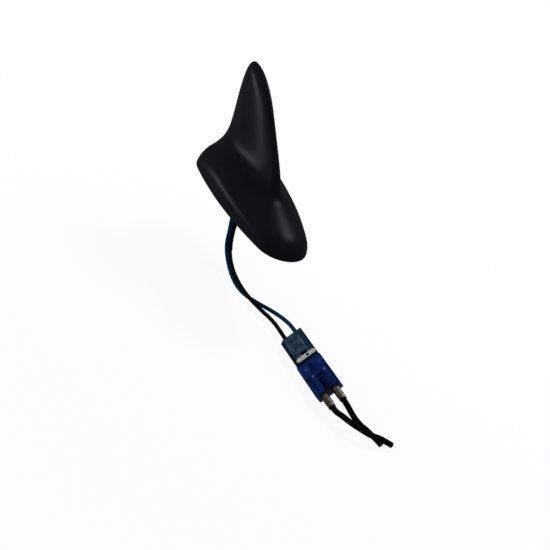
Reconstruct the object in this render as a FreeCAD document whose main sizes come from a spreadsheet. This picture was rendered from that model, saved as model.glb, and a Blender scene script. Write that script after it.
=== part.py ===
import FreeCAD, Part
import math
import os
from FreeCAD import Placement, Rotation, Vector

# Shark-fin roof antenna with its two leads, the mated two-way connector and the cut-off harness leads.
# The roof's outer skin is the plane z = 0, the fixing stud's axis is the z axis, and the nose points along +x.

doc = FreeCAD.newDocument("roof_antenna")
sheet = doc.addObject("Spreadsheet::Sheet", "dims")

DIMENSIONS = [
    # the moulded cover
    ("cover_length", 129.5),
    ("cover_width", 55.5),
    ("cover_height", 80.0),
    ("cover_wall", 2.2),
    ("cover_roof_gap", 0.6),
    ("stud_to_tail", 49.0),
    ("boss_radius", 3.0),
    ("nose_boss_x", 55.0),
    ("side_boss_x", 26.0),
    ("side_boss_y", 17.0),
    ("rear_boss_x", 28.0),
    ("rear_boss_y", 17.0),
    # the die-cast floor and its seal
    ("gasket_thickness", 2.5),
    ("gasket_inset", 1.5),
    ("base_thickness", 3.0),
    ("base_clearance", 0.4),
    ("base_rim_height", 1.5),
    ("base_rim_width", 1.4),
    ("base_rim_inset", 2.5),
    ("stud_radius", 8.0),
    ("stud_length", 14.0),
    ("stud_collar_radius", 10.0),
    ("stud_bore_radius", 5.2),
    ("stud_hole_clearance", 0.3),
    ("peg_radius", 2.0),
    ("peg_length", 3.0),
    ("peg_x", 24.0),
    # screws
    ("fit_clearance", 0.1),
    ("overlap", 1.0),
    ("cover_screw_radius", 1.4),
    ("cover_screw_head_radius", 2.6),
    ("cover_screw_head", 1.6),
    ("cover_screw_length", 8.0),
    ("board_screw_radius", 1.0),
    ("board_screw_head_radius", 1.9),
    ("board_screw_head", 1.3),
    ("board_screw_length", 5.0),
    ("screw_tip_room", 0.4),
    # the circuit board and what stands on it
    ("post_height", 4.0),
    ("post_radius", 2.4),
    ("board_length", 74.0),
    ("board_width", 23.0),
    ("board_thickness", 1.6),
    ("board_tail_x", -36.0),
    ("board_corner", 5.0),
    ("post_inset_x", 4.5),
    ("post_inset_y", 3.0),
    ("patch_side", 18.0),
    ("patch_thickness", 4.0),
    ("patch_x", 8.0),
    ("electrode_side", 14.0),
    ("electrode_thickness", 0.2),
    ("can_length", 14.0),
    ("can_width", 15.0),
    ("can_height", 3.0),
    ("can_sheet", 0.4),
    ("can_x", -7.0),
    ("foot_length", 18.0),
    ("foot_width", 5.0),
    ("foot_height", 6.0),
    ("foot_x", -28.0),
    ("blade_sheet", 0.8),
    ("blade_top_share", 0.80),
    ("blade_slot_width", 2.0),
    ("blade_low_slot", 35.2),
    ("blade_high_slot", 46.4),
    ("blade_gap", 2.5),
    ("blade_waist", 18.0),
    ("foot_margin", 2.0),
    # the leads and the soft plug they pass through
    ("lead_radius", 1.25),
    ("lead_pitch", 4.4),
    ("grommet_length", 8.0),
    ("grommet_flange", 1.5),
    ("grommet_flange_radius", 6.6),
    ("harness_lead_radius", 2.1),
    ("lead_run", 4.3),
    ("stub_run", 7.4),
    # the two-way connector
    ("contact_pitch", 8.6),
    ("contact_radius", 2.7),
    ("contact_tail", 5.0),
    ("contact_bore", 1.6),
    ("contact_bore_depth", 6.0),
    ("ring_width", 1.0),
    ("ring_depth", 0.4),
    ("plug_length", 25.7),
    ("plug_width", 17.4),
    ("plug_thickness", 8.6),
    ("plug_edge", 1.2),
    ("plug_key", 2.7),
    ("plug_gap", 1.2),
    ("spigot_length", 9.0),
    ("spigot_width", 15.0),
    ("spigot_thickness", 6.8),
    ("lock_length", 14.8),
    ("lock_width", 3.2),
    ("lock_depth", 1.1),
    ("lock_proud", 0.3),
    ("lock_setback", 1.2),
    ("lock_hole_radius", 0.7),
    ("lock_hole_side", 1.2),
    ("face_side", 1.0),
    ("window_length", 3.0),
    ("window_width", 4.2),
    ("socket_length", 27.4),
    ("socket_width", 18.6),
    ("socket_thickness", 9.0),
    ("socket_edge", 1.2),
    ("mouth_clearance", 0.2),
    ("rail_start", 12.0),
    ("rail_height", 1.0),
    ("rail_width", 3.6),
    ("rail_side", 1.4),
    ("rail_bar", 1.2),
    ("groove_width", 0.9),
    ("groove_depth", 0.5),
    ("channel_width", 5.6),
    ("channel_depth", 1.2),
    ("pocket_start", 16.4),
    ("pocket_width", 3.4),
    ("pocket_depth", 2.2),
    ("keyway_start", 2.6),
    ("keyway_length", 6.4),
    ("keyway_width", 2.2),
    ("keyway_depth", 0.5),
    ("keyway_side", -0.5),
    ("pad_radius", 1.4),
    ("pad_height", 0.25),
    ("pad_x", 5.6),
    ("pad_reach", 5.1),
    ("wing_length", 0.8),
    ("wing_width", 3.0),
    ("wing_edge", 1.2),
    ("ferrule_length", 10.6),
    ("ferrule_wall", 0.45),
    ("ferrule_step", 7.2),
]

for row, (alias, value) in enumerate(DIMENSIONS, start=1):
    sheet.set(f"A{row}", alias)
    sheet.set(f"B{row}", str(value))
    sheet.setAlias(f"B{row}", alias)
doc.recompute()


def size(alias):
    return float(sheet.get(alias))


def bind(thing, **expressions):
    for name, expression in expressions.items():
        thing.setExpression(name, expression)


def place(thing, x="0", y="0", z="0"):
    for axis, expression in zip("xyz", (x, y, z)):
        thing.setExpression(f"Placement.Base.{axis}", expression)
    return thing


def box(name, length, width, height, x="0", y="0", z="0"):
    """A block centred across y, with its low end at x and its floor at z."""
    block = doc.addObject("Part::Box", name)
    bind(block, Length=length, Width=width, Height=height)
    return place(block, x, f"{y} - ({width}) / 2", z)


def post(name, radius, height, x="0", y="0", z="0"):
    """A round bar that rises along z."""
    bar = doc.addObject("Part::Cylinder", name)
    bind(bar, Radius=radius, Height=height)
    return place(bar, x, y, z)


def rod(name, radius, length, x="0", y="0", z="0"):
    """A round bar that runs along x."""
    bar = doc.addObject("Part::Cylinder", name)
    bind(bar, Radius=radius, Height=length)
    bar.Placement = Placement(Vector(), Rotation(Vector(0, 1, 0), 90))
    return place(bar, x, y, z)


def fuse(name, things):
    joined = doc.addObject("Part::MultiFuse", name)
    joined.Shapes = things
    joined.Refine = True
    return joined


def cut(name, base, tools):
    result = doc.addObject("Part::Cut", name)
    result.Base = base
    result.Tool = tools[0] if len(tools) == 1 else fuse(f"{name}_tools", tools)
    result.Refine = False
    return result


def softened(kind, name, base, radius, chosen):
    """The base with a fillet or chamfer on each edge that chosen accepts."""
    doc.recompute()
    result = doc.addObject(kind, name)
    result.Base = base
    value = size(radius)
    edges = base.Shape.Edges
    result.Edges = [(i, value, value) for i, edge in enumerate(edges, start=1) if chosen(edge)]
    return result


def runs_along(edge, axis):
    if edge.Curve.TypeId != "Part::GeomLine":
        return False
    return abs(abs(edge.Curve.Direction.dot(axis)) - 1) < 1e-6


def long_edge(edge):
    return runs_along(edge, Vector(1, 0, 0))


def left_top_edge(edge):
    return long_edge(edge) and edge.CenterOfMass.y < 0 and edge.CenterOfMass.z > 0


def other_long_edge(edge):
    return long_edge(edge) and not left_top_edge(edge)


def rear_outer_edge(edge):
    """An upright edge at the back of a wing, on the outside of the socket."""
    outside = size("socket_width") / 2 - size("wing_width") / 2
    rear = size("socket_length") - size("wing_length") / 2
    middle = edge.CenterOfMass
    return runs_along(edge, Vector(0, 0, 1)) and abs(middle.y) > outside and middle.x > rear


def wire_feature(name, shape):
    feature = doc.addObject("Part::Feature", name)
    feature.Shape = shape
    return feature


nodes = {}


def node(label, thing):
    thing.Label = label
    nodes[label] = thing
    return thing


# The fin's outline

# Stations from the rim to the tip. Height, tail, nose and half width are shares of the cover's height,
# length (from the tail) and half width. Widest is how far along its own length a station is widest, and
# the tail's, the corners' and the nose's radius are shares of its own half width.
STATIONS = [
    # height, tail, nose, half width, widest, tail radius, corner radius, nose radius
    (0.00, 0.000, 1.000, 1.000, 0.36, 1.30, 0.84, 0.70),
    (0.03, 0.006, 0.997, 0.998, 0.37, 1.33, 0.79, 0.70),
    (0.07, 0.015, 0.983, 0.990, 0.39, 1.36, 0.73, 0.69),
    (0.14, 0.029, 0.917, 0.928, 0.44, 1.40, 0.62, 0.66),
    (0.17, 0.037, 0.862, 0.869, 0.455, 1.41, 0.57, 0.63),
    (0.20, 0.044, 0.801, 0.799, 0.47, 1.42, 0.52, 0.60),
    (0.23, 0.048, 0.741, 0.717, 0.475, 1.41, 0.485, 0.56),
    (0.26, 0.051, 0.690, 0.631, 0.48, 1.39, 0.45, 0.52),
    (0.32, 0.049, 0.652, 0.460, 0.48, 1.34, 0.38, 0.45),
    (0.40, 0.041, 0.626, 0.350, 0.48, 1.31, 0.34, 0.40),
    (0.50, 0.031, 0.569, 0.298, 0.47, 1.31, 0.33, 0.37),
    (0.60, 0.021, 0.498, 0.268, 0.46, 1.30, 0.33, 0.36),
    (0.70, 0.010, 0.424, 0.240, 0.45, 1.30, 0.33, 0.36),
    (0.80, 0.001, 0.349, 0.211, 0.45, 1.30, 0.33, 0.37),
    (0.90, 0.000, 0.259, 0.172, 0.44, 1.29, 0.34, 0.38),
    (0.96, 0.006, 0.186, 0.120, 0.44, 1.29, 0.34, 0.40),
    (1.00, 0.030, 0.106, 0.036, 0.44, 1.29, 0.34, 0.40),
]
HOLLOW_TOP = 0.90
LEAST_END_SHARE = 0.35


def section(tail, nose, half_width, widest, tail_radius, corner_radius, nose_radius):
    """A closed outline of six tangent arcs: tail, two corners, two sides and nose."""
    nose_centre = Vector(nose - nose_radius, 0, 0)
    tail_centre = Vector(tail + tail_radius, 0, 0)
    widest_x = tail + widest * (nose - tail)
    nose_reach = nose_centre.x - widest_x
    side_radius = (nose_reach**2 + half_width**2 - nose_radius**2) / (2 * (half_width - nose_radius))
    side_centre = Vector(widest_x, half_width - side_radius, 0)
    apart = tail_centre - side_centre
    side_reach = side_radius - corner_radius
    tail_reach = tail_radius - corner_radius
    along = (side_reach**2 - tail_reach**2 + apart.Length**2) / (2 * apart.Length)
    forward = Vector(apart).normalize()
    outward = Vector(forward.y, -forward.x, 0)
    if outward.x > 0:
        outward = outward * -1
    corner_centre = side_centre + forward * along + outward * math.sqrt(side_reach**2 - along**2)

    def meeting(centre, radius, towards):
        return centre + Vector(towards - centre).normalize() * radius

    tail_meet = meeting(tail_centre, tail_radius, corner_centre)
    side_meet = meeting(side_centre, side_radius, corner_centre)
    return {
        "tail": tail,
        "nose": nose,
        "tail_meet": tail_meet,
        "corner": meeting(corner_centre, corner_radius, corner_centre * 2 - (side_centre + tail_centre) / 2),
        "side_meet": side_meet,
        "crown": Vector(widest_x, half_width, 0),
        "nose_meet": meeting(side_centre, side_radius, nose_centre),
    }


def section_wire(outline, z):
    """The section's closed wire at height z, from the tail round by the left side."""
    lift = Vector(0, 0, z)

    def mirrored(point):
        return Vector(point.x, -point.y, 0)

    def arc(first, middle, last):
        return Part.Arc(first + lift, middle + lift, last + lift).toShape()

    tail_left, side_left, nose_left = (outline[name] for name in ("tail_meet", "side_meet", "nose_meet"))
    tail_right, side_right, nose_right = (mirrored(point) for point in (tail_left, side_left, nose_left))
    return Part.Wire([
        arc(tail_right, Vector(outline["tail"], 0, 0), tail_left),
        arc(tail_left, outline["corner"], side_left),
        arc(side_left, outline["crown"], nose_left),
        arc(nose_left, Vector(outline["nose"], 0, 0), nose_right),
        arc(nose_right, mirrored(outline["crown"]), side_right),
        arc(side_right, mirrored(outline["corner"]), tail_right),
    ])


def station_section(station, inset=0.0):
    tail, nose, half_width, widest, tail_round, corner_round, nose_round = station[1:]
    half = half_width * size("cover_width") / 2
    start = -size("stud_to_tail")
    least = LEAST_END_SHARE * (half - inset)
    return section(
        start + tail * size("cover_length") + inset,
        start + nose * size("cover_length") - inset,
        half - inset,
        widest,
        tail_round * (half - inset),
        max(corner_round * half - inset, least),
        max(nose_round * half - inset, least),
    )


def station_height(share):
    return size("cover_roof_gap") + share * (size("cover_height") - size("cover_roof_gap"))


def station_at(z):
    """The station's values at height z, between the two stations around it."""
    for low, high in zip(STATIONS, STATIONS[1:]):
        bottom, top = station_height(low[0]), station_height(high[0])
        if z <= top:
            part = (z - bottom) / (top - bottom)
            return tuple(a + part * (b - a) for a, b in zip(low, high))
    return STATIONS[-1]


def fin_loft(name, inset, drop, top_share, ruled):
    """The fin's form up to top_share of its height, drawn inside by inset and lowered by drop."""
    sections = []
    for station in STATIONS:
        if station[0] > top_share:
            break
        z = station_height(station[0])
        if inset:
            z -= size("cover_roof_gap") if station[0] == 0 else drop
        wire = section_wire(station_section(station, inset), z)
        sections.append(wire_feature(f"{name}_station_{len(sections)}", wire))
    loft = doc.addObject("Part::Loft", name)
    loft.Sections = sections
    loft.Solid = True
    loft.Ruled = ruled
    loft.MaxDegree = 5
    return loft


# The cover

base_floor = "dims.gasket_thickness"
base_top = "dims.gasket_thickness + dims.base_thickness"
board_floor = f"{base_top} + dims.post_height"
board_top = f"{board_floor} + dims.board_thickness"

BOSS_PLACES = [
    ("dims.nose_boss_x", "0"),
    ("dims.side_boss_x", "dims.side_boss_y"),
    ("dims.side_boss_x", "-dims.side_boss_y"),
    ("-dims.rear_boss_x", "dims.rear_boss_y"),
    ("-dims.rear_boss_x", "-dims.rear_boss_y"),
]
BOSS_TOP_SHARE = 0.26

outer = fin_loft("cover_outside", 0.0, 0.0, 1.0, False)
hollow = fin_loft("cover_hollow", size("cover_wall"), size("cover_wall") / 2, HOLLOW_TOP, True)
boss_limit = fin_loft("boss_limit", size("cover_wall") / 2, size("cover_wall") / 4, HOLLOW_TOP, True)
shell = cut("cover_shell", outer, [hollow])

bosses = []
pilots = []
for index, (x, y) in enumerate(BOSS_PLACES):
    tall = f"{BOSS_TOP_SHARE} * dims.cover_height - ({base_top})"
    bosses.append(post(f"boss_{index}", "dims.boss_radius", tall, x, y, base_top))
    radius = "dims.cover_screw_radius + dims.fit_clearance / 2"
    depth = "dims.cover_screw_length - dims.base_thickness + dims.cover_screw_head"
    pilots.append(post(f"pilot_{index}", radius, f"{depth} + dims.screw_tip_room", x, y, base_top))
boss_group = doc.addObject("Part::Compound", "boss_group")
boss_group.Links = bosses
trimmed = doc.addObject("Part::Common", "trimmed_bosses")
trimmed.Base = boss_limit
trimmed.Tool = boss_group
node("fin_cover", cut("cover_cut", fuse("cover_with_bosses", [shell, trimmed]), pilots))

# The die-cast floor with its rim, posts, locating peg and hollow stud


def floor_outline(inset):
    """The room inside the cover at the floor's upper face, drawn in by inset."""
    level = size("gasket_thickness") + size("base_thickness") + size("cover_wall") / 2
    return station_section(station_at(level), size("cover_wall") + size("base_clearance") + inset)


def slab(name, inset, height, z):
    outline = wire_feature(f"{name}_outline", section_wire(floor_outline(inset), 0))
    plate = doc.addObject("Part::Extrusion", name)
    plate.Base = outline
    plate.DirMode = "Custom"
    plate.Dir = Vector(0, 0, 1)
    plate.Solid = True
    bind(plate, LengthFwd=height)
    return place(plate, z=z)


post_reach = "(dims.board_width / 2 - dims.post_inset_y)"
post_rear = "dims.board_tail_x + dims.post_inset_x"
post_front = "dims.board_tail_x + dims.board_length - dims.board_corner - dims.post_inset_x"
POST_PLACES = [(x, side + post_reach) for x in (post_rear, post_front) for side in ("", "-")]

plate = slab("base_slab", 0.0, "dims.base_thickness", base_floor)
rim_outside = size("base_rim_inset")
rim_block = slab("base_rim_block", rim_outside, "dims.base_thickness + dims.base_rim_height", base_floor)
tray = slab("base_tray", rim_outside + size("base_rim_width"), "dims.base_rim_height", base_top)
rim = cut("base_rim", rim_block, [tray])
stud = post("stud", "dims.stud_radius", f"dims.stud_length + {base_top}", z="-dims.stud_length")
collar = post("stud_collar", "dims.stud_collar_radius", base_top)
peg = post("peg", "dims.peg_radius", f"dims.peg_length + {base_top}", "dims.peg_x", "0", "-dims.peg_length")
stands = [
    post(f"stand_{i}", "dims.post_radius", "dims.post_height + dims.base_thickness", x, y, base_floor)
    for i, (x, y) in enumerate(POST_PLACES)
]
stud_bore = post(
    "stud_bore", "dims.stud_bore_radius", f"dims.stud_length + {base_top} + 2 * dims.overlap",
    z="-dims.stud_length - dims.overlap",
)
screw_ways = []
for i, (x, y) in enumerate(BOSS_PLACES):
    clear = "dims.cover_screw_radius + dims.fit_clearance"
    screw_ways.append(post(f"screw_way_{i}", clear, "dims.base_thickness + dims.overlap", x, y, base_floor))
    seat = "dims.boss_radius + dims.base_clearance"
    screw_ways.append(post(f"boss_room_{i}", seat, "dims.base_rim_height + dims.overlap", x, y, base_top))
    sink = "dims.cover_screw_head_radius + dims.fit_clearance"
    sink_depth = "dims.cover_screw_head + dims.overlap"
    screw_ways.append(post(f"screw_sink_{i}", sink, sink_depth, x, y, f"{base_floor} - dims.overlap"))
for i, (x, y) in enumerate(POST_PLACES):
    radius = "dims.board_screw_radius + dims.fit_clearance / 2"
    depth = "dims.board_screw_length - dims.board_thickness + dims.screw_tip_room"
    bottom = f"{board_floor} - ({depth})"
    screw_ways.append(post(f"stand_hole_{i}", radius, f"{depth} + dims.overlap", x, y, bottom))
casting = fuse("base_casting", [plate, rim, stud, collar, peg] + stands)
node("base_plate", cut("base_cut", casting, [stud_bore] + screw_ways))

# The roof seal

pad = slab("gasket_pad", size("gasket_inset"), "dims.gasket_thickness", "0")
gasket_holes = [
    post(
        f"gasket_{name}_hole", f"dims.{name}_radius + dims.stud_hole_clearance",
        "dims.gasket_thickness + 2 * dims.overlap", x, "0", "-dims.overlap",
    )
    for name, x in (("stud_collar", "0"), ("peg", "dims.peg_x"))
]
node("roof_gasket", cut("gasket_cut", pad, gasket_holes))


# Screws


def screw(name, radius, length, head_radius, head, x, y, z, upward):
    """A pan-head screw whose head stands on z, with its shank above the head where upward is true."""
    foot = f"{z} + {head}" if upward else f"{z} - ({length})"
    shank = post(f"{name}_shank", radius, length, x, y, foot)
    cap = post(f"{name}_head", head_radius, head, x, y, z)
    return fuse(name, [shank, cap])


def screw_group(label, screws):
    group = doc.addObject("Part::Compound", label)
    group.Links = screws
    return node(label, group)


screw_group("cover_screws", [
    screw(
        f"cover_screw_{i}",
        "dims.cover_screw_radius",
        "dims.cover_screw_length - dims.cover_screw_head",
        "dims.cover_screw_head_radius",
        "dims.cover_screw_head",
        x, y, base_floor, True,
    )
    for i, (x, y) in enumerate(BOSS_PLACES)
])
screw_group("board_screws", [
    screw(
        f"board_screw_{i}",
        "dims.board_screw_radius",
        "dims.board_screw_length",
        "dims.board_screw_head_radius",
        "dims.board_screw_head",
        x, y, board_top, False,
    )
    for i, (x, y) in enumerate(POST_PLACES)
])

# The circuit board: a plate with its two front corners cut off and a hole over each post


def board_shape():
    tail = size("board_tail_x")
    front = tail + size("board_length")
    half = size("board_width") / 2
    corner = size("board_corner")
    points = [
        Vector(tail, -half, 0),
        Vector(front - corner, -half, 0),
        Vector(front, -half + corner, 0),
        Vector(front, half - corner, 0),
        Vector(front - corner, half, 0),
        Vector(tail, half, 0),
    ]
    return Part.makePolygon(points + points[:1])


board_outline = wire_feature("board_outline", board_shape())
board_slab = doc.addObject("Part::Extrusion", "board_slab")
board_slab.Base = board_outline
board_slab.DirMode = "Custom"
board_slab.Dir = Vector(0, 0, 1)
board_slab.Solid = True
bind(board_slab, LengthFwd="dims.board_thickness")
place(board_slab, z=board_floor)
board_holes = [
    post(
        f"board_hole_{i}", "dims.board_screw_radius + dims.fit_clearance",
        "dims.board_thickness + 2 * dims.overlap", x, y, f"{board_floor} - dims.overlap",
    )
    for i, (x, y) in enumerate(POST_PLACES)
]
node("main_board", cut("board_cut", board_slab, board_holes))

# The ceramic patch with its silvered face, and the tinned can over the amplifier

ceramic = box(
    "patch_block", "dims.patch_side", "dims.patch_side", "dims.patch_thickness", "dims.patch_x", "0", board_top,
)
silver = box(
    "patch_face", "dims.electrode_side", "dims.electrode_side", "dims.electrode_thickness",
    "dims.patch_x + (dims.patch_side - dims.electrode_side) / 2", "0", f"{board_top} + dims.patch_thickness",
)
node("sky_patch", fuse("patch_body", [ceramic, silver]))

can_block = box(
    "can_block", "dims.can_length", "dims.can_width", "dims.can_height", "dims.can_x", "0", board_top,
)
can_room = box(
    "can_room", "dims.can_length - 2 * dims.can_sheet", "dims.can_width - 2 * dims.can_sheet",
    "dims.can_height - dims.can_sheet", "dims.can_x + dims.can_sheet", "0", board_top,
)
node("amplifier_shield", cut("can_cut", can_block, [can_room]))

# The phone element: an upright sheet that follows the inside of the fin, in a slotted foot


def blade_face():
    """The sheet's outline in the middle plane: a neck in the foot, a wide waist and a narrower top."""
    floor = size("gasket_thickness") + size("base_thickness") + size("post_height") + size("board_thickness")
    low = floor + size("foot_height") / 2
    neck_top = floor + size("foot_height")
    waist_z = floor + size("blade_waist")
    high = size("blade_top_share") * size("cover_height")
    inner = size("cover_wall") + size("blade_gap")
    waist = station_section(station_at(waist_z), inner)
    top = station_section(station_at(high), inner)
    foot_front = size("foot_x") + size("foot_length")
    points = [
        Vector(size("foot_x"), 0, low),
        Vector(foot_front, 0, low),
        Vector(foot_front, 0, neck_top),
        Vector(waist["nose"] - inner, 0, waist_z),
        Vector(top["nose"] - inner / 2, 0, high),
        Vector(top["tail"] + inner / 2, 0, high),
        Vector(waist["tail"] + inner / 2, 0, waist_z),
        Vector(size("foot_x"), 0, neck_top),
    ]
    return Part.makePolygon(points + points[:1])


blade_outline = wire_feature("blade_outline", blade_face())
blade = doc.addObject("Part::Extrusion", "blade_sheet_body")
blade.Base = blade_outline
blade.DirMode = "Custom"
blade.Dir = Vector(0, 1, 0)
blade.Solid = True
blade.Symmetric = True
bind(blade, LengthFwd="dims.blade_sheet")
slots = [
    box(
        f"blade_{name}", "dims.foot_length - dims.blade_slot_width", "dims.blade_sheet + 2 * dims.overlap",
        "dims.blade_slot_width", "dims.foot_x + dims.blade_slot_width", "0", f"dims.blade_{name}",
    )
    for name in ("low_slot", "high_slot")
]
node("phone_blade", cut("blade_cut", blade, slots))

foot_block = box(
    "foot_block", "dims.foot_length + 2 * dims.foot_margin", "dims.foot_width", "dims.foot_height",
    "dims.foot_x - dims.foot_margin", "0", board_top,
)
foot_slot = box(
    "foot_slot", "dims.foot_length + 2 * dims.fit_clearance", "dims.blade_sheet + 2 * dims.fit_clearance",
    "dims.foot_height", "dims.foot_x - dims.fit_clearance", "0", f"{board_top} + dims.foot_height / 2",
)
node("blade_foot", cut("foot_cut", foot_block, [foot_slot]))

# The soft plug in the stud's bore

plug_body = post(
    "grommet_body", "dims.stud_bore_radius - dims.fit_clearance", "dims.grommet_length", z="-dims.stud_length",
)
flange = post(
    "grommet_lip", "dims.grommet_flange_radius", "dims.grommet_flange",
    z="-dims.stud_length - dims.grommet_flange",
)
lead_ways = [
    post(
        f"grommet_way_{i}", "dims.lead_radius + dims.fit_clearance",
        "dims.grommet_length + dims.grommet_flange + 2 * dims.overlap",
        "0", f"{side}dims.lead_pitch / 2", "-dims.stud_length - dims.grommet_flange - dims.overlap",
    )
    for i, side in enumerate(("", "-"))
]
node("lead_grommet", cut("grommet_cut", fuse("grommet_whole", [plug_body, flange]), lead_ways))

# The two-way connector, drawn along x with the socket's front face at x = 0 and its broad face up

CONNECTOR_ORIGIN = Vector(123.6, 14.4, -50.2)
CONNECTOR_ROLL = 46.4
CONNECTOR_YAW = 2.8
connector_place = Placement(
    CONNECTOR_ORIGIN,
    Rotation(Vector(1, 0, 0), CONNECTOR_ROLL).multiply(Rotation(Vector(0, 0, 1), CONNECTOR_YAW)),
)
SIDES = {"left": "-1 * ", "right": ""}
half_pitch = "dims.contact_pitch / 2"


def in_connector(label, thing):
    thing.Placement = connector_place
    return node(label, thing)


plug_shell = box(
    "plug_shell", "dims.plug_length - dims.plug_gap", "dims.plug_width", "dims.plug_thickness",
    "-dims.plug_length", "0", "-dims.plug_thickness / 2",
)
plug_keyed = softened("Part::Chamfer", "plug_keyed", plug_shell, "plug_key", left_top_edge)
plug_soft = softened("Part::Fillet", "plug_soft", plug_keyed, "plug_edge", other_long_edge)
spigot = box(
    "spigot", "dims.spigot_length + dims.plug_gap + dims.overlap", "dims.spigot_width", "dims.spigot_thickness",
    "-dims.plug_gap - dims.overlap", "0", "-dims.spigot_thickness / 2",
)
lock_front = "-dims.plug_gap - dims.lock_setback"


def stadium(name, grow, depth, z):
    """A flat bar across the plug with round ends."""
    reach = "(dims.lock_length - dims.lock_width) / 2"
    middle = f"{lock_front} - dims.lock_width / 2"
    ends = [
        post(
            f"{name}_end_{side}", f"dims.lock_width / 2 + {grow}", depth,
            middle, f"dims.face_side + {sign}({reach})", z,
        )
        for side, sign in SIDES.items()
    ]
    bar = box(
        f"{name}_bar", f"dims.lock_width + 2 * {grow}", f"2 * ({reach})", depth,
        f"{lock_front} - dims.lock_width - {grow}", "dims.face_side", z,
    )
    return fuse(name, ends + [bar])


lock_floor = "dims.plug_thickness / 2 - dims.lock_depth"
lock_slot = stadium("lock_slot", "dims.fit_clearance", "dims.lock_depth + dims.overlap", lock_floor)
window = box(
    "plug_window", "dims.window_length", "dims.window_width", "dims.lock_depth + dims.overlap",
    f"{lock_front} - dims.lock_width - dims.fit_clearance - dims.window_length", "dims.face_side", lock_floor,
)
contact_ways = []
for name, sign in SIDES.items():
    y = f"{sign}{half_pitch}"
    contact_ways.append(rod(
        f"plug_way_{name}", "dims.contact_radius + dims.fit_clearance",
        "dims.plug_length - dims.contact_tail + dims.spigot_length + dims.overlap",
        "-dims.plug_length + dims.contact_tail", y,
    ))
    contact_ways.append(rod(
        f"plug_entry_{name}", "dims.lead_radius + dims.fit_clearance", "dims.contact_tail + 2 * dims.overlap",
        "-dims.plug_length - dims.overlap", y,
    ))
plug_form = fuse("plug_form", [plug_soft, spigot])
in_connector("plug_housing", cut("plug_cut", plug_form, [lock_slot, window] + contact_ways))

lock_bar = stadium("lock_bar", "0", "dims.lock_depth + dims.lock_proud", lock_floor)
lock_hole = post(
    "lock_hole", "dims.lock_hole_radius", "dims.lock_depth + dims.overlap",
    f"{lock_front} - dims.lock_width / 2", "dims.face_side + dims.lock_hole_side", lock_floor,
)
in_connector("plug_lock", cut("lock_cut", lock_bar, [lock_hole]))

socket_shell = box(
    "socket_shell", "dims.socket_length - dims.wing_length", "dims.socket_width", "dims.socket_thickness",
    "0", "0", "-dims.socket_thickness / 2",
)
socket_soft = softened("Part::Fillet", "socket_soft", socket_shell, "socket_edge", long_edge)
socket_top = "dims.socket_thickness / 2"
wings = []
pads = []
for name, sign in SIDES.items():
    wing = box(
        f"wing_{name}", "dims.wing_length + dims.overlap", "dims.wing_width",
        "dims.socket_thickness - 2 * dims.socket_edge", "dims.socket_length - dims.wing_length - dims.overlap",
        f"{sign}(dims.socket_width - dims.wing_width) / 2", f"-{socket_top} + dims.socket_edge",
    )
    wings.append(softened("Part::Fillet", f"wing_soft_{name}", wing, "wing_edge", rear_outer_edge))
    pads.append(post(
        f"face_pad_{name}", "dims.pad_radius", "dims.pad_height + dims.socket_edge / 2", "dims.pad_x",
        f"dims.face_side + {sign}dims.pad_reach", f"{socket_top} - dims.socket_edge / 2",
    ))
socket_form = fuse("socket_form", [socket_soft] + wings + pads)
mouth = box(
    "socket_mouth", "dims.spigot_length + dims.mouth_clearance + dims.overlap",
    "dims.spigot_width + 2 * dims.mouth_clearance", "dims.spigot_thickness + 2 * dims.mouth_clearance",
    "-dims.overlap", "0", "-dims.spigot_thickness / 2 - dims.mouth_clearance",
)
shoulder_floor = f"{socket_top} - dims.rail_height"
rail_outside = "dims.channel_width / 2 + dims.rail_width"
recesses = [
    box(
        f"shoulder_{name}", "dims.socket_length", "dims.socket_width", "dims.rail_height + dims.overlap",
        "dims.rail_start", f"dims.rail_side + {sign}({rail_outside} + dims.socket_width / 2)",
        shoulder_floor,
    )
    for name, sign in SIDES.items()
]
recesses.append(box(
    "rail_groove", "dims.socket_length", "dims.groove_width", "dims.groove_depth + dims.overlap",
    "dims.rail_start", f"dims.rail_side - ({rail_outside}) - dims.groove_width / 2",
    f"{shoulder_floor} - dims.groove_depth",
))
recesses.append(box(
    "latch_channel", "dims.socket_length", "dims.channel_width", "dims.channel_depth + dims.overlap",
    "dims.rail_start + dims.rail_bar", "dims.rail_side", f"{socket_top} - dims.channel_depth",
))
recesses.append(box(
    "latch_pocket", "dims.socket_length", "dims.pocket_width", "dims.pocket_depth + dims.overlap",
    "dims.pocket_start", "dims.rail_side - (dims.channel_width - dims.pocket_width) / 2",
    f"{socket_top} - dims.pocket_depth",
))
recesses.append(box(
    "front_keyway", "dims.keyway_length", "dims.keyway_width", "dims.keyway_depth + dims.overlap",
    "dims.keyway_start", "dims.keyway_side", f"{socket_top} - dims.keyway_depth",
))
socket_ways = [
    rod(
        f"socket_way_{name}", "dims.contact_radius + dims.fit_clearance", "dims.socket_length",
        "dims.spigot_length", f"{sign}{half_pitch}",
    )
    for name, sign in SIDES.items()
]
in_connector("socket_housing", cut("socket_cut", socket_form, [mouth] + recesses + socket_ways))

# Contacts and crimp ferrules

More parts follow.
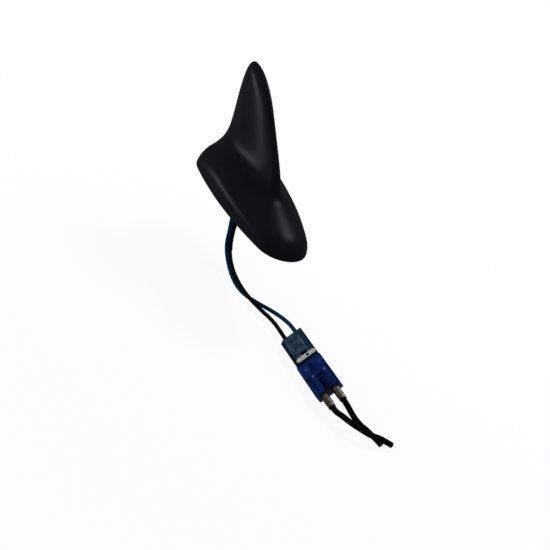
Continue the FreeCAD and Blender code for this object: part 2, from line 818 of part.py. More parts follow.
contact_front = "dims.spigot_length"
socket_end = "dims.socket_length - dims.wing_length"
for name, sign in SIDES.items():
    y = f"{sign}{half_pitch}"
    barrel = rod(
        f"plug_barrel_{name}", "dims.contact_radius",
        "dims.plug_length - dims.contact_tail + dims.spigot_length", "-dims.plug_length + dims.contact_tail", y,
    )
    groove_outside = "dims.contact_radius + dims.overlap"
    groove_inside = "dims.contact_radius - dims.ring_depth"
    groove_ring = rod(f"plug_groove_{name}", groove_outside, "dims.ring_width", "-dims.plug_length / 2", y)
    groove_core = rod(f"plug_core_{name}", groove_inside, "dims.ring_width", "-dims.plug_length / 2", y)
    in_connector(
        f"plug_contact_{name}",
        cut(f"plug_contact_cut_{name}", barrel, [cut(f"plug_ring_{name}", groove_ring, [groove_core])]),
    )
    body_length = f"{socket_end} - dims.spigot_length"
    body = rod(f"socket_barrel_{name}", "dims.contact_radius", body_length, contact_front, y)
    pin_way = rod(f"socket_pin_way_{name}", "dims.contact_bore", "dims.contact_bore_depth", contact_front, y)
    in_connector(f"socket_contact_{name}", cut(f"socket_contact_cut_{name}", body, [pin_way]))
    sleeve = rod(
        f"sleeve_{name}", "dims.harness_lead_radius + dims.ferrule_wall", "dims.ferrule_length", socket_end, y,
    )
    collar = rod(f"collar_{name}", "dims.contact_radius", "dims.ferrule_step", socket_end, y)
    lead_room = rod(
        f"ferrule_room_{name}", "dims.harness_lead_radius + dims.fit_clearance / 2", "dims.ferrule_length",
        f"{socket_end} + dims.ferrule_step", y,
    )
    whole = fuse(f"ferrule_whole_{name}", [sleeve, collar])
    in_connector(f"crimp_ferrule_{name}", cut(f"ferrule_cut_{name}", whole, [lead_room]))

# Leads: straight runs with a tangent arc at each point of the route, as large as its two runs allow

ARC_SHARE = 0.45


def lead_tube(label, route, radius):
    """A round tube along the route, which prints its bend radii."""
    edges = []
    radii = []
    start = route[0]
    length = 0.0
    for before, corner, after in zip(route, route[1:], route[2:]):
        incoming = (corner - before).normalize()
        outgoing = (after - corner).normalize()
        turn = incoming.getAngle(outgoing)
        tangent = ARC_SHARE * min((corner - before).Length, (after - corner).Length)
        bend = tangent / math.tan(turn / 2)
        radii.append(bend)
        first = corner - incoming * tangent
        last = corner + outgoing * tangent
        inward = (outgoing - incoming).normalize()
        middle = corner + inward * (bend / math.cos(turn / 2) - bend)
        edges.append(Part.LineSegment(start, first).toShape())
        edges.append(Part.Arc(first, middle, last).toShape())
        length += (first - start).Length + bend * turn
        start = last
    edges.append(Part.LineSegment(start, route[-1]).toShape())
    length += (route[-1] - start).Length
    path = Part.Wire(edges)
    circle = Part.Wire(Part.makeCircle(radius, route[0], (route[1] - route[0]).normalize()))
    tube = path.makePipeShell([circle], True, False)
    feature = doc.addObject("Part::Feature", label)
    feature.Shape = tube
    volume = math.pi * radius**2 * length
    print(label, "length", round(length, 1), "volume share", round(tube.Volume / volume, 4))
    print(label, "bend radii", [round(value, 1) for value in radii])
    return node(label, feature)


def connector_point(x, y, z=0.0):
    return connector_place.multVec(Vector(x, y, z))


lead_top = size("gasket_thickness") + size("base_thickness") + size("post_height")
lead_side = size("lead_pitch") / 2
contact_side = size("contact_pitch") / 2
lead_end = -size("plug_length") + size("contact_tail")
straight_back = -size("plug_length") - size("lead_run")

BLUE_ROUTE = [
    Vector(0, -lead_side, lead_top),
    Vector(0, -lead_side, -20),
    Vector(0, -1.4, -33),
    Vector(3.5, -0.8, -46),
    Vector(12.3, -0.8, -55.5),
    Vector(27.4, -0.1, -58.7),
    Vector(41.9, 1.5, -58.7),
    Vector(52.2, 7.4, -58.7),
    Vector(65.0, 16.6, -58.0),
    Vector(80.0, 18.6, -52.6),
    connector_point(straight_back, contact_side),
    connector_point(lead_end, contact_side),
]
BLACK_ROUTE = [
    Vector(0, lead_side, lead_top),
    Vector(0, lead_side, -20),
    Vector(0, 2.7, -33),
    Vector(4.0, 2.9, -46),
    Vector(14.2, 2.8, -54.8),
    Vector(30.3, 1.9, -55.6),
    Vector(46.9, 1.1, -55.2),
    Vector(60.3, 5.4, -57.4),
    Vector(76.2, 11.2, -57.8),
    connector_point(straight_back, -contact_side),
    connector_point(lead_end, -contact_side),
]
lead_tube("blue_lead", BLUE_ROUTE, size("lead_radius"))
lead_tube("black_lead", BLACK_ROUTE, size("lead_radius"))

stub_start = size("socket_length") - size("wing_length") + size("ferrule_step")
stub_straight = stub_start + size("stub_run")
LEFT_STUB = [
    connector_point(stub_start, -contact_side),
    connector_point(stub_straight, -contact_side),
    Vector(168.6, 15.2, -51.4),
    Vector(175.4, 18.6, -51.4),
    Vector(181.0, 23.7, -52.0),
    Vector(186.3, 29.6, -53.0),
    Vector(188.4, 35.5, -53.6),
    Vector(192.0, 43.5, -57.0),
]
RIGHT_STUB = [
    connector_point(stub_start, contact_side),
    connector_point(stub_straight, contact_side),
    Vector(171.4, 21.9, -50.0),
    Vector(175.6, 27.4, -54.5),
    Vector(180.5, 33.0, -57.9),
    Vector(191.9, 34.8, -57.9),
]
lead_tube("harness_lead_left", LEFT_STUB, size("harness_lead_radius"))
lead_tube("harness_lead_right", RIGHT_STUB, size("harness_lead_radius"))

doc.recompute()

faults = [thing.Name for thing in doc.Objects if "Invalid" in thing.State or "Error" in thing.State]
for label, thing in nodes.items():
    if thing.Shape.isNull() or not thing.Shape.isValid() or not thing.Shape.Solids:
        faults.append(label)
if faults:
    raise RuntimeError(f"these did not build: {faults}")

os.makedirs("parts", exist_ok=True)
for label, thing in nodes.items():
    thing.Shape.exportStep(f"parts/{label}.step")
    print(label, len(thing.Shape.Solids), "solids", round(thing.Shape.Volume, 1), "mm3")
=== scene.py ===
import math
import bpy
from mathutils import Matrix, Vector


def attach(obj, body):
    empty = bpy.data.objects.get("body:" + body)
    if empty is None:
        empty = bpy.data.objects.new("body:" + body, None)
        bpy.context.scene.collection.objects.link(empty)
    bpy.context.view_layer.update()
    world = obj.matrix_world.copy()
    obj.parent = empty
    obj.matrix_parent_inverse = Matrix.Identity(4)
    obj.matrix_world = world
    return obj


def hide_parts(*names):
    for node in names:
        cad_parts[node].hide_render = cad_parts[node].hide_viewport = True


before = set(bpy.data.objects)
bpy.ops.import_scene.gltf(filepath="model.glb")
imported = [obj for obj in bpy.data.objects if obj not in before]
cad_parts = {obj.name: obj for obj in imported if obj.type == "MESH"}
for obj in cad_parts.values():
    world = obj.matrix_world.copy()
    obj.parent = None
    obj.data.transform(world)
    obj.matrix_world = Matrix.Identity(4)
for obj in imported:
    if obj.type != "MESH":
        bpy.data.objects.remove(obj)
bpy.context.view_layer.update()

mm = 0.001


# camera
viewpoint = {
    "aim": (50.17, 16.22, -35.07),   # millimetres, the middle of the picture
    "distance": 600,
    "azimuth": 38.868,               # degrees from the nose, towards the left flank
    "elevation": 32.65,
    "roll": 23.661,
    "lens": 55.398,
}


def setCamera():
    turn, lift, roll = (math.radians(viewpoint[k]) for k in ("azimuth", "elevation", "roll"))
    back = Vector((math.cos(lift) * math.cos(turn), -math.cos(lift) * math.sin(turn), math.sin(lift)))
    level = Vector((0, 0, 1)).cross(back).normalized()
    rise = back.cross(level)
    right = level * math.cos(roll) + rise * math.sin(roll)
    up = rise * math.cos(roll) - level * math.sin(roll)
    eye = (Vector(viewpoint["aim"]) + back * viewpoint["distance"]) * mm
    bpy.ops.object.select_all(action="DESELECT")
    bpy.ops.object.camera_add()
    camera = bpy.context.object
    camera.name = "photoCamera"
    camera.matrix_world = Matrix.Translation(eye) @ Matrix((right, up, back)).transposed().to_4x4()
    camera.data.lens = viewpoint["lens"]
    camera.data.sensor_width = 36
    camera.data.clip_start = 0.02
    bpy.context.scene.camera = camera
    print("camera: eye at", [round(c, 3) for c in eye])


setCamera()


# where the connector lies, in millimetres and degrees
connectorPlace = {"origin": (123.6, 14.4, -50.2), "roll": 46.4, "yaw": 2.8}
connectorSpin = (Matrix.Rotation(math.radians(connectorPlace["roll"]), 3, "X")
                 @ Matrix.Rotation(math.radians(connectorPlace["yaw"]), 3, "Z"))
leadSide = 4.3   # from the connector's middle line to each lead
ferruleEnd = 33.8   # where a harness lead starts, along the connector


def connectorPoint(x, y, z=0.0):
    return tuple(Vector(connectorPlace["origin"]) + connectorSpin @ Vector((x, y, z)))


# finishes
class Value:   # one socket, with the operators that add Math nodes
    def __init__(self, finish, socket):
        self.finish, self.socket = finish, socket

    def maths(self, operation, first, second=0.0):
        return self.finish.add("ShaderNodeMath", {"operation": operation}, {0: first, 1: second})

    def __add__(self, other): return self.maths("ADD", self, other)
    def __radd__(self, other): return self.maths("ADD", other, self)
    def __sub__(self, other): return self.maths("SUBTRACT", self, other)
    def __rsub__(self, other): return self.maths("SUBTRACT", other, self)
    def __mul__(self, other): return self.maths("MULTIPLY", self, other)
    def __rmul__(self, other): return self.maths("MULTIPLY", other, self)
    def __truediv__(self, other): return self.maths("DIVIDE", self, other)
    def __rtruediv__(self, other): return self.maths("DIVIDE", other, self)
    def __abs__(self): return self.maths("ABSOLUTE", self)
    def larger(self, other): return self.maths("MAXIMUM", self, other)


class Finish:   # a material and the nodes that make it
    def __init__(self, name):
        self.material = bpy.data.materials.new(name)
        self.material.use_nodes = True
        self.nodes = self.material.node_tree.nodes
        self.links = self.material.node_tree.links
        self.shader = self.nodes["Principled BSDF"]
        self.place = self.add("ShaderNodeTexCoord", {}, {}, "Object")

    def add(self, kind, settings, sockets, output=0):
        node = self.nodes.new(kind)
        for key, value in settings.items():
            setattr(node, key, value)
        for key, value in sockets.items():
            self.fill(node.inputs[key], value)
        return Value(self, node.outputs[output])

    def fill(self, socket, value):
        if isinstance(value, Value):
            self.links.new(value.socket, socket)
        elif hasattr(value, "__len__") and len(value) == 3 and socket.type == "RGBA":
            socket.default_value = (*value, 1)
        else:
            socket.default_value = value

    def noise(self, scale, detail=2.0, roughness=0.5, place=None):
        return self.add("ShaderNodeTexNoise", {}, {
            "Vector": place or self.place, "Scale": scale, "Detail": detail, "Roughness": roughness})

    def spread(self, value, low, high, first=0.0, last=1.0):   # a range of one value to another range
        return self.add("ShaderNodeMapRange", {"interpolation_type": "SMOOTHSTEP"}, {
            "Value": value, "From Min": low, "From Max": high, "To Min": first, "To Max": last})

    def band(self, value, low, high, soft):   # 1 between low and high
        return self.spread(value, low - soft, low + soft) * (1 - self.spread(value, high - soft, high + soft))

    def axes(self, place):
        return [self.add("ShaderNodeSeparateXYZ", {}, {0: place}, k) for k in range(3)]

    def inConnector(self):   # millimetres along, across and up the connector
        return self.axes(self.add("ShaderNodeMapping", {"vector_type": "TEXTURE"}, {
            "Vector": self.place, "Location": [c * mm for c in connectorPlace["origin"]],
            "Rotation": connectorSpin.to_euler(), "Scale": (mm, mm, mm)}))

    def stretched(self, scale):
        return self.add("ShaderNodeMapping", {}, {"Vector": self.place, "Scale": scale})

    def mix(self, share, first, second):
        return self.add("ShaderNodeMix", {"data_type": "RGBA"}, {0: share, 6: first, 7: second}, 2)

    def bump(self, height, depth, strength=1.0):
        return self.add("ShaderNodeBump", {}, {"Height": height, "Distance": depth, "Strength": strength})

    def set(self, **sockets):
        names = {"colour": "Base Color", "roughness": "Roughness", "metallic": "Metallic", "normal": "Normal",
                 "gloss": "Specular IOR Level", "coat": "Coat Weight", "coatRoughness": "Coat Roughness",
                 "clear": "Transmission Weight", "ior": "IOR"}
        for key, value in sockets.items():
            self.fill(self.shader.inputs[names[key]], value)
        return self.material


coverLook = {"dark": (0.0042, 0.0038, 0.0060), "worn": (0.0078, 0.0074, 0.0100), "film": 0.036, "roughness": 0.28}


def coverPlastic():
    f = Finish("coverPlastic")
    grain = f.noise(2400, 3)
    cloud = f.noise(26, 3)
    dust = f.spread(f.noise(900, 2), 0.60, 0.74)
    shade = f.spread(cloud, 0.35, 0.70) * 0.35 + dust * 0.30
    return f.set(
        colour=f.mix(shade, coverLook["dark"], coverLook["worn"]),
        coat=coverLook["film"] * (0.6 + cloud * 0.6 + grain * 0.3 - dust * 0.25),   # the thin coat gives all the sheen
        coatRoughness=coverLook["roughness"], roughness=0.6 + dust * 0.2, gloss=0.0,
        normal=f.bump(grain, 0.00004, 0.5))


jacketLook = {   # dark, light, roughness
    "blue": ((0.0003, 0.0150, 0.046), (0.0010, 0.0270, 0.074), 0.42),
    "black": ((0.0010, 0.0010, 0.0012), (0.0026, 0.0026, 0.0030), 0.45),
    "harness": ((0.0008, 0.0008, 0.0009), (0.0024, 0.0023, 0.0024), 0.50),
}


def jacket(name):
    dark, light, roughness = jacketLook[name]
    f = Finish(name + "Jacket")
    cloud = f.noise(160, 3)
    scuff = f.spread(f.noise(1100, 3, 0.6), 0.58, 0.75)
    return f.set(
        colour=f.mix(f.spread(cloud, 0.3, 0.7) * 0.7 + scuff * 0.3, dark, light),
        roughness=roughness + scuff * 0.15, gloss=0.0, coat=0.02, coatRoughness=0.40,
        normal=f.bump(f.noise(1800, 2), 0.00003, 0.4))


plugLook = {
    "dark": (0.0050, 0.016, 0.034), "pale": (0.034, 0.066, 0.106), "navy": (0.0005, 0.0045, 0.021),
    "paintedStreak": (0.085, 0.115, 0.150), "black": (0.0015, 0.0018, 0.0025),
}


def smokePlastic():
    f = Finish("smokePlastic")
    x, y, z = f.inConnector()
    haze = f.noise(240, 3)
    scratch = f.spread(f.noise(500, 3, 0.6, f.stretched((0.2, 1, 1))), 0.62, 0.70)
    face = f.mix(f.spread(haze, 0.3, 0.7) * 0.7 + scratch * 0.3, plugLook["dark"], plugLook["pale"])
    face = f.mix(f.spread(y, 4.0, 6.2) * 0.8, face, plugLook["dark"])   # darker on the right
    paintedStreak = f.band(y, 3.7, 4.2, 0.15) * f.band(x, -22, -8, 0.8)   # painted highlight: a pale line along the face
    face = f.mix(paintedStreak, face, plugLook["paintedStreak"])
    # painted shade: the chamfered left side, the right edge and the strip in front of the lock are coloured navy
    paintedShadeEdges = (1 - f.spread(y, -6.5, -5.9)).larger(f.spread(y, 7.3, 7.9)).larger(f.spread(x, -2.6, -2.3))
    face = f.mix(paintedShadeEdges, face, plugLook["navy"])
    paintedSlotShade = f.band(x, -8.9, -1.9, 0.1) * (1 - f.spread(z, 4.05, 4.25)) * f.spread(z, 2.6, 2.9)   # painted shade: the inside of the slots is black
    return f.set(
        colour=f.mix(paintedSlotShade, face, plugLook["black"]),
        roughness=0.20 + haze * 0.10 + scratch * 0.15, clear=0.02, ior=1.49, gloss=0.0,
        coat=0.05, coatRoughness=0.18, normal=f.bump(haze, 0.00005, 0.3))


lockLook = {"pale": (0.35, 0.35, 0.34), "stained": (0.20, 0.205, 0.21), "dot": (0.006, 0.016, 0.085),
            "dotAt": (-4.0, 2.2), "dotRadius": 1.15}


def lockPlastic():
    f = Finish("lockPlastic")
    x, y = f.inConnector()[:2]
    stain = f.spread(f.noise(420, 4, 0.6), 0.50, 0.72)
    dx, dy = x - lockLook["dotAt"][0], y - lockLook["dotAt"][1]
    dot = 1 - f.spread((dx * dx + dy * dy) / lockLook["dotRadius"] ** 2, 0.75, 1.15)
    bar = f.mix(stain, lockLook["pale"], lockLook["stained"])
    return f.set(
        colour=f.mix(dot, bar, lockLook["dot"]),
        roughness=0.42 + stain * 0.15, gloss=0.2, normal=f.bump(f.noise(1500, 2), 0.00003, 0.3))


socketLook = {
    "plain": (0.0005, 0.0080, 0.060), "pale": (0.0014, 0.0145, 0.092), "paintedShadeBlue": (0.0001, 0.0008, 0.018),
    "pad": (0.0085, 0.029, 0.125), "worn": (0.050, 0.105, 0.280),
    "railMiddle": 1.4, "padMiddle": 1.0, "padAt": (5.6, 5.1), "cornerAt": (12.7, 4.5),   # millimetres in the connector
}


def socketPlastic():
    f = Finish("socketPlastic")
    x, y, z = f.inConnector()
    cloud = f.noise(180, 3)
    scuff = f.spread(f.noise(1300, 3, 0.6), 0.60, 0.76)
    body = f.mix(f.spread(cloud, 0.3, 0.7) * 0.6 + scuff * 0.4, socketLook["plain"], socketLook["pale"])
    side, reach = abs(y - socketLook["railMiddle"]), abs(y - socketLook["padMiddle"])
    # painted shade: the channel, the groove beside the left rail and the keyway are coloured a deeper blue
    channel = (1 - f.spread(side, 2.7, 2.9)) * f.spread(x, 13.0, 13.4) * (1 - f.spread(z, 2.3, 4.3))
    groove = f.band(y, -6.1, -4.9, 0.1) * f.spread(x, 11.8, 12.1) * (1 - f.spread(z, 3.3, 3.9))
    keyway = f.band(y, -1.8, 0.8, 0.2) * f.band(x, 2.3, 9.3, 0.3) * (1 - f.spread(z, 4.1, 4.45))
    top = f.spread(z, 4.3, 4.45)
    body = f.mix(channel.larger(groove).larger(keyway), body, socketLook["paintedShadeBlue"])
    # two pale round spots on the top face
    dx, dy = x - socketLook["padAt"][0], reach - socketLook["padAt"][1]
    pad = (1 - f.spread(dx * dx + dy * dy, 1.2, 3.8)) * top
    body = f.mix(pad, body, socketLook["pad"])
    cx, cy = x - socketLook["cornerAt"][0], side - socketLook["cornerAt"][1]
    paintedCornerGlint = (1 - f.spread(cx * cx + cy * cy, 0.2, 1.1)) * top   # painted highlight: pale front corners of the rails
    rim = f.spread(abs(y), 8.5, 9.2) * f.spread(z, 3.0, 4.0) * 0.25
    # the pale colour serves both the painted highlight at the rails' corners and the wear along the long edges
    return f.set(
        colour=f.mix(paintedCornerGlint.larger(rim * scuff), body, socketLook["worn"]),
        roughness=0.30 + cloud * 0.10 + scuff * 0.15, gloss=0.03, normal=f.bump(f.noise(1600, 2), 0.00003, 0.4))


ferruleLook = {"bright": (0.16, 0.155, 0.145), "dull": (0.060, 0.053, 0.045), "brown": (0.014, 0.0085, 0.0055),
               "ringAt": 30.2}


def ferruleSteel():
    f = Finish("ferruleSteel")
    x, y = f.inConnector()[:2]
    turn = y - leadSide * f.add("ShaderNodeMath", {"operation": "SIGN"}, {0: y})   # across each sleeve, from its axis
    tarnish = f.spread(f.noise(330, 4, 0.6), 0.42, 0.70)
    metal = f.mix(tarnish, ferruleLook["bright"], ferruleLook["dull"])
    brown = 1 - f.spread(turn + tarnish * 0.5, -0.2, 1.6)   # painted shade: one side of each sleeve turns brown
    metal = f.mix(brown, metal, ferruleLook["brown"])
    ring = f.band(x, ferruleLook["ringAt"], ferruleLook["ringAt"] + 0.5, 0.12)
    return f.set(
        colour=f.mix(ring * 0.8, metal, ferruleLook["brown"]), metallic=1.0 - tarnish * 0.25,
        roughness=0.32 + tarnish * 0.22, normal=f.bump(f.noise(1400, 3), 0.00004, 0.4))


castLook = {"pale": (0.40, 0.41, 0.42), "dark": (0.26, 0.27, 0.28), "pitch": 1.5, "threadDepth": 0.0005}


def castZinc():
    f = Finish("castZinc")
    x, y, z = f.axes(f.place)
    cloud = f.spread(f.noise(175, 4), 0.35, 0.68)
    out = f.add("ShaderNodeMath", {"operation": "SQRT"}, {0: x * x + y * y})
    turn = f.add("ShaderNodeMath", {"operation": "ARCTAN2"}, {0: y, 1: x}) / (2 * math.pi)
    ramp = f.add("ShaderNodeMath", {"operation": "FRACT"}, {0: z / (castLook["pitch"] * mm) + turn})
    threaded = f.band(out, 0.0076, 0.0090, 0.0001) * f.band(z, -0.0132, -0.0004, 0.0004)   # the stud's thread
    ridge = threaded * abs(ramp - 0.5) * 2 + f.noise(700, 3) * 0.10
    return f.set(
        colour=f.mix(cloud, castLook["pale"], castLook["dark"]), metallic=1.0,
        roughness=0.46 + cloud * 0.12, normal=f.bump(ridge, castLook["threadDepth"], 1.0))


metalLook = {   # pale, dark, roughness, metallic, size of the grain
    "zincSteel": ((0.55, 0.56, 0.58), (0.38, 0.39, 0.42), 0.30, 1.0, 1500),
    "tinnedSheet": ((0.62, 0.61, 0.59), (0.46, 0.45, 0.43), 0.28, 1.0, 900),
    "phoneCopper": ((0.62, 0.40, 0.24), (0.46, 0.27, 0.15), 0.34, 1.0, 1100),
    "coreWire": ((0.30, 0.16, 0.09), (0.16, 0.085, 0.05), 0.40, 1.0, 2000),
    "contactBrass": ((0.60, 0.46, 0.22), (0.42, 0.30, 0.13), 0.28, 1.0, 1300),
}
plainLook = {
    "sealRubber": ((0.012, 0.012, 0.012), (0.024, 0.023, 0.022), 0.72, 0.0, 900),
    "boardLaminate": ((0.010, 0.060, 0.028), (0.016, 0.085, 0.040), 0.38, 0.0, 600),
    "patchCeramic": ((0.44, 0.40, 0.33), (0.52, 0.48, 0.40), 0.55, 0.0, 1000),
    "coreFoam": ((0.040, 0.039, 0.037), (0.022, 0.021, 0.020), 0.60, 0.0, 1800),
    "footPlastic": ((0.30, 0.29, 0.27), (0.38, 0.37, 0.34), 0.50, 0.0, 900),
}


def grained(name, look):
    first, second, roughness, metallic, scale = look
    f = Finish(name)
    cloud = f.spread(f.noise(scale * 0.25, 4), 0.35, 0.68)
    grain = f.noise(scale, 3)
    return f.set(
        colour=f.mix(cloud, first, second), metallic=metallic,
        roughness=roughness + cloud * 0.12, normal=f.bump(grain, 0.00005, 0.5))


looks = {name: grained(name, look) for name, look in (metalLook | plainLook).items()}
looks |= {name: jacket(name) for name in jacketLook}
looks |= {"cover": coverPlastic(), "smoke": smokePlastic(), "lock": lockPlastic(), "socket": socketPlastic(),
          "ferrule": ferruleSteel(), "castZinc": castZinc()}

nodeLooks = {
    "cover": ["fin_cover"],
    "castZinc": ["base_plate"],
    "sealRubber": ["roof_gasket", "lead_grommet"],
    "zincSteel": ["cover_screws", "board_screws"],
    "boardLaminate": ["main_board"],
    "patchCeramic": ["sky_patch"],
    "tinnedSheet": ["amplifier_shield"],
    "phoneCopper": ["phone_blade"],
    "footPlastic": ["blade_foot"],
    "smoke": ["plug_housing"],
    "lock": ["plug_lock"],
    "socket": ["socket_housing"],
    "contactBrass": ["plug_contact_left", "plug_contact_right", "socket_contact_left", "socket_contact_right"],
    "ferrule": ["crimp_ferrule_left", "crimp_ferrule_right"],
}


def paintNodes():
    for look, names in nodeLooks.items():
        for name in names:
            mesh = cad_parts[name].data
            mesh.materials.clear()
            mesh.materials.append(looks[look])
    print("finishes:", len(looks), "looks on", sum(len(n) for n in nodeLooks.values()), "nodes")


paintNodes()


# leads: sizes and routes in millimetres, length in metres
leads = {
    "blueLead": {
        "node": "blue_lead", "look": "blue", "slot": "blue_jacket", "radius": 1.48, "length": 0.165,
        "exit": (0, -2.2, -14), "farEnd": "connector",
        "with": ["plug_housing", "plug_lock", "plug_contact_right", "socket_housing",
                 "socket_contact_left", "socket_contact_right"],
        "route": [(0, -2.2, 9.5), (0, -2.2, -20), (0.7, -0.2, -32.7), (3.6, -0.2, -45.4), (12.9, 0.8, -54.6),
                  (27.5, 0.2, -58.5), (42, 1.5, -58.6), (52, 7.5, -58.3), (64.5, 16.9, -57.2), (80.2, 18.9, -52.5),
                  connectorPoint(-30, leadSide), connectorPoint(-20.7, leadSide)],
    },
    "blackLead": {
        "node": "black_lead", "look": "black", "slot": "black_jacket", "radius": 1.48, "length": 0.1595,
        "exit": (0, 2.2, -14), "farEnd": "connector", "with": ["plug_contact_left", "leadSleeve"],
        "route": [(0, 2.2, 9.5), (0, 2.2, -20), (0.1, 2.8, -33), (3.9, 2.8, -45.9), (14.0, 2.9, -54.7),
                  (30.2, 1.1, -55.8), (46.9, 1, -55.2), (60.2, 6, -56.7), (75.6, 11.7, -56.5),
                  connectorPoint(-30, -leadSide), connectorPoint(-20.7, -leadSide)],
    },
    "harnessLeadLeft": {
        "node": "harness_lead_left", "look": "harness", "slot": "black_jacket", "radius": 1.95, "length": 0.050,
        "exit": connectorPoint(ferruleEnd, -leadSide), "farEnd": "bare", "with": ["crimp_ferrule_left", "cutCoreLeft"],
        "route": [connectorPoint(ferruleEnd, -leadSide), connectorPoint(41.2, -leadSide), (168.6, 15.2, -51.4),
                  (175.4, 18.6, -51.4), (181, 23.7, -52), (186.3, 29.6, -53), (188.4, 35.5, -53.6), (192, 43.5, -57)],
    },
    "harnessLeadRight": {
        "node": "harness_lead_right", "look": "harness", "slot": "black_jacket", "radius": 1.95, "length": 0.043,
        "exit": connectorPoint(ferruleEnd, leadSide), "farEnd": "bare", "with": ["crimp_ferrule_right", "cutCoreRight"],
        "route": [connectorPoint(ferruleEnd, leadSide), connectorPoint(41.2, leadSide), (171.4, 21.9, -50),
                  (175.6, 27.4, -54.5), (179.6, 34.2, -57.9), (190.3, 36.9, -57.9)],
    },
}


def makeLead(name, lead):
    curve = bpy.data.curves.new(name, "CURVE")
    curve.dimensions = "3D"
    curve.resolution_u = 10
    curve.bevel_depth = lead["radius"] * mm
    curve.bevel_resolution = 6
    curve.use_fill_caps = True
    spline = curve.splines.new("NURBS")
    spline.points.add(len(lead["route"]) - 1)
    for point, spot in zip(spline.points, lead["route"]):
        point.co = (*(c * mm for c in spot), 1)
    spline.order_u = 3
    spline.use_endpoint_u = True
    curve.materials.append(looks[lead["look"]])
    cord = bpy.data.objects.new(name, curve)
    bpy.context.scene.collection.objects.link(cord)
    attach(cord, "root")
    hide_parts(lead["node"])
    return cord


def declareLead(lead):
    tuple(c * mm for c in lead["exit"])
    2 * lead["radius"] * mm


def linePoints(cord):   # points along a lead's own line
    line = cord.data.copy()
    line.bevel_depth = 0
    bare = bpy.data.objects.new("bareLine", line)
    bpy.context.scene.collection.objects.link(bare)
    bpy.context.view_layer.update()
    mesh = bpy.data.meshes.new_from_object(bare)
    points = [v.co.copy() for v in mesh.vertices]
    bpy.data.objects.remove(bare)
    bpy.data.meshes.remove(mesh)
    return points


sleeve = {"top": -15.6, "bottom": -48.5, "radius": 1.92, "endShare": 0.90}   # shrunk tube on the black lead


def makeSleeve(cord):
    points = [p for p in linePoints(cord) if sleeve["bottom"] * mm <= p.z <= sleeve["top"] * mm]
    curve = bpy.data.curves.new("leadSleeve", "CURVE")
    curve.dimensions = "3D"
    curve.bevel_depth = sleeve["radius"] * mm
    curve.bevel_resolution = 6
    curve.use_fill_caps = True
    spline = curve.splines.new("POLY")
    spline.points.add(len(points) - 1)
    for point, spot in zip(spline.points, points):
        point.co = (*spot, 1)
    for end in (0, -1):
        spline.points[end].radius = sleeve["endShare"]
    tube = bpy.data.objects.new("leadSleeve", curve)
    bpy.context.scene.collection.objects.link(tube)
    bpy.ops.object.select_all(action="DESELECT")
    tube.select_set(True)
    bpy.context.view_layer.objects.active = tube
    bpy.ops.object.convert(target="MESH")
    bpy.ops.object.shade_smooth_by_angle(angle=math.radians(40))
    tube = bpy.context.object
    tube.name = "leadSleeve"
    tube.data.materials.clear()
    tube.data.materials.append(looks["black"])
    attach(tube, "root")


cutCore = {"radius": 1.25, "wire": 0.45, "proud": 0.25, "wireProud": 0.35}   # what shows in the cut face of a lead


def makeCutCore(name, cord):
    before, end = linePoints(cord)[-2:]
    way = (end - before).normalized()
    bpy.ops.object.select_all(action="DESELECT")
    bpy.ops.mesh.primitive_cylinder_add(vertices=24, radius=cutCore["radius"] * mm, depth=2 * cutCore["proud"] * mm)
    core = bpy.context.object
    core.name = name
    core.data.materials.append(looks["coreFoam"])
    core.data.materials.append(looks["coreWire"])
    bpy.ops.object.mode_set(mode="EDIT")
    bpy.ops.mesh.select_mode(type="FACE")
    bpy.ops.mesh.select_all(action="DESELECT")
    bpy.ops.object.mode_set(mode="OBJECT")
    for face in core.data.polygons:
        face.select = face.normal.z > 0.9
    bpy.ops.object.mode_set(mode="EDIT")
    bpy.ops.mesh.inset(thickness=(cutCore["radius"] - cutCore["wire"]) * mm)
    core.active_material_index = 1
    bpy.ops.object.material_slot_assign()
    bpy.ops.mesh.extrude_region_move(TRANSFORM_OT_translate={"value": (0, 0, cutCore["wireProud"] * mm)})
    bpy.ops.object.material_slot_assign()
    bpy.ops.object.mode_set(mode="OBJECT")
    turn = way.to_track_quat("Z", "Y").to_matrix().to_4x4()
    core.data.transform(Matrix.Translation(end) @ turn)
    bpy.ops.object.shade_smooth_by_angle(angle=math.radians(35))
    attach(core, "root")


cords = {name: makeLead(name, lead) for name, lead in leads.items()}
makeSleeve(cords["blackLead"])
makeCutCore("cutCoreLeft", cords["harnessLeadLeft"])
makeCutCore("cutCoreRight", cords["harnessLeadRight"])
for name, cord in cords.items():
    declareLead(leads[name])
print("leads:", len(cords), "with a sleeve and two cut ends")


# floor and light
floorLook = {"level": -60.1, "size": 8.0, "pale": (0.90, 0.90, 0.90), "glow": 0.92, "near": 0.16, "far": 0.45,
             "middle": (0.07, 0.01)}


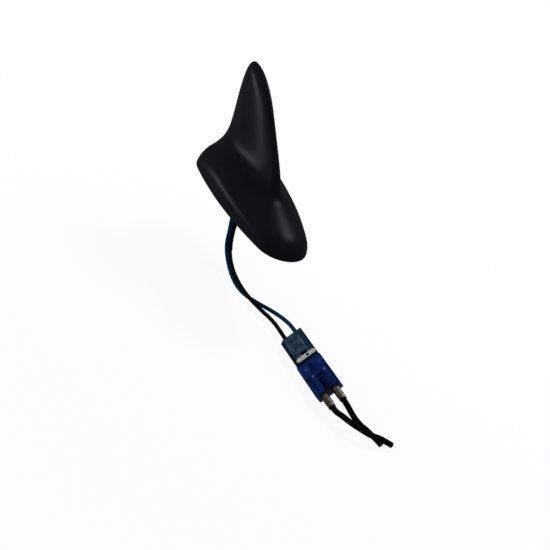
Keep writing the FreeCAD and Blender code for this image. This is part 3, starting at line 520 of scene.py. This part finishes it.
def makeFloor():
    bpy.ops.object.select_all(action="DESELECT")
    bpy.ops.mesh.primitive_plane_add(size=floorLook["size"])
    floor = bpy.context.object
    floor.name = "paleFloor"
    floor.data.transform(Matrix.Translation((0, 0, floorLook["level"] * mm)))
    f = Finish("paleFloor")
    f.set(colour=floorLook["pale"], roughness=0.9, gloss=0.1)
    ray = [f.add("ShaderNodeLightPath", {}, {}, kind)
           for kind in ("Is Camera Ray", "Is Glossy Ray", "Is Transmission Ray")]
    seen = f.add("ShaderNodeMath", {"operation": "MAXIMUM"}, {0: ray[0], 1: ray[1]})
    seen = f.add("ShaderNodeMath", {"operation": "MAXIMUM"}, {0: seen, 1: ray[2]})
    middle = (*floorLook["middle"], floorLook["level"] * mm)
    away = f.add("ShaderNodeVectorMath", {"operation": "DISTANCE"}, {0: f.place, 1: middle}, 1)
    share = f.spread(away, floorLook["near"], floorLook["far"], floorLook["glow"], 1.0)
    glow = f.add("ShaderNodeEmission", {}, {"Color": (1, 1, 1), "Strength": 1.0})
    both = f.add("ShaderNodeMixShader", {}, {0: seen * share, 1: Value(f, f.shader.outputs[0]), 2: glow})
    f.fill(f.nodes["Material Output"].inputs["Surface"], both)
    floor.data.materials.append(f.material)


lamps = {   # direction it comes from, distance, width and height of the panel, power
    "leftStrip": ((-0.66, -0.75, 0.05), 1.2, 0.60, 0.11, 9.5),
    "topPanel": ((-0.20, 0.50, 0.84), 1.1, 0.22, 0.22, 6.0),
}
lampAim = (60, 10, -20)   # millimetres
roomLight = 0.45


def makeLight():
    target = Vector(lampAim) * mm
    for name, (way, distance, width, height, power) in lamps.items():
        lamp = bpy.data.lights.new(name, "AREA")
        lamp.energy = power
        lamp.shape = "RECTANGLE"
        lamp.size, lamp.size_y = width, height
        panel = bpy.data.objects.new(name, lamp)
        bpy.context.scene.collection.objects.link(panel)
        panel.location = target + Vector(way).normalized() * distance
        panel.rotation_euler = Vector(way).to_track_quat("Z", "Y").to_euler()
    world = bpy.data.worlds.new("softRoom")
    bpy.context.scene.world = world
    world.use_nodes = True
    nodes, links = world.node_tree.nodes, world.node_tree.links
    nodes["Background"].inputs["Color"].default_value = (1, 1, 1, 1)
    path = nodes.new("ShaderNodeLightPath")
    level = nodes.new("ShaderNodeMapRange")   # plain white to the camera and in reflections
    level.inputs["To Min"].default_value = roomLight
    seen = path.outputs["Is Camera Ray"]
    for ray in ("Is Glossy Ray", "Is Transmission Ray"):
        total = nodes.new("ShaderNodeMath")
        links.new(seen, total.inputs[0])
        links.new(path.outputs[ray], total.inputs[1])
        seen = total.outputs[0]
    links.new(seen, level.inputs["Value"])
    links.new(level.outputs["Result"], nodes["Background"].inputs["Strength"])
    bpy.context.scene.view_settings.view_transform = "Standard"


makeFloor()
makeLight()
print("stage: floor and", len(lamps), "panels")
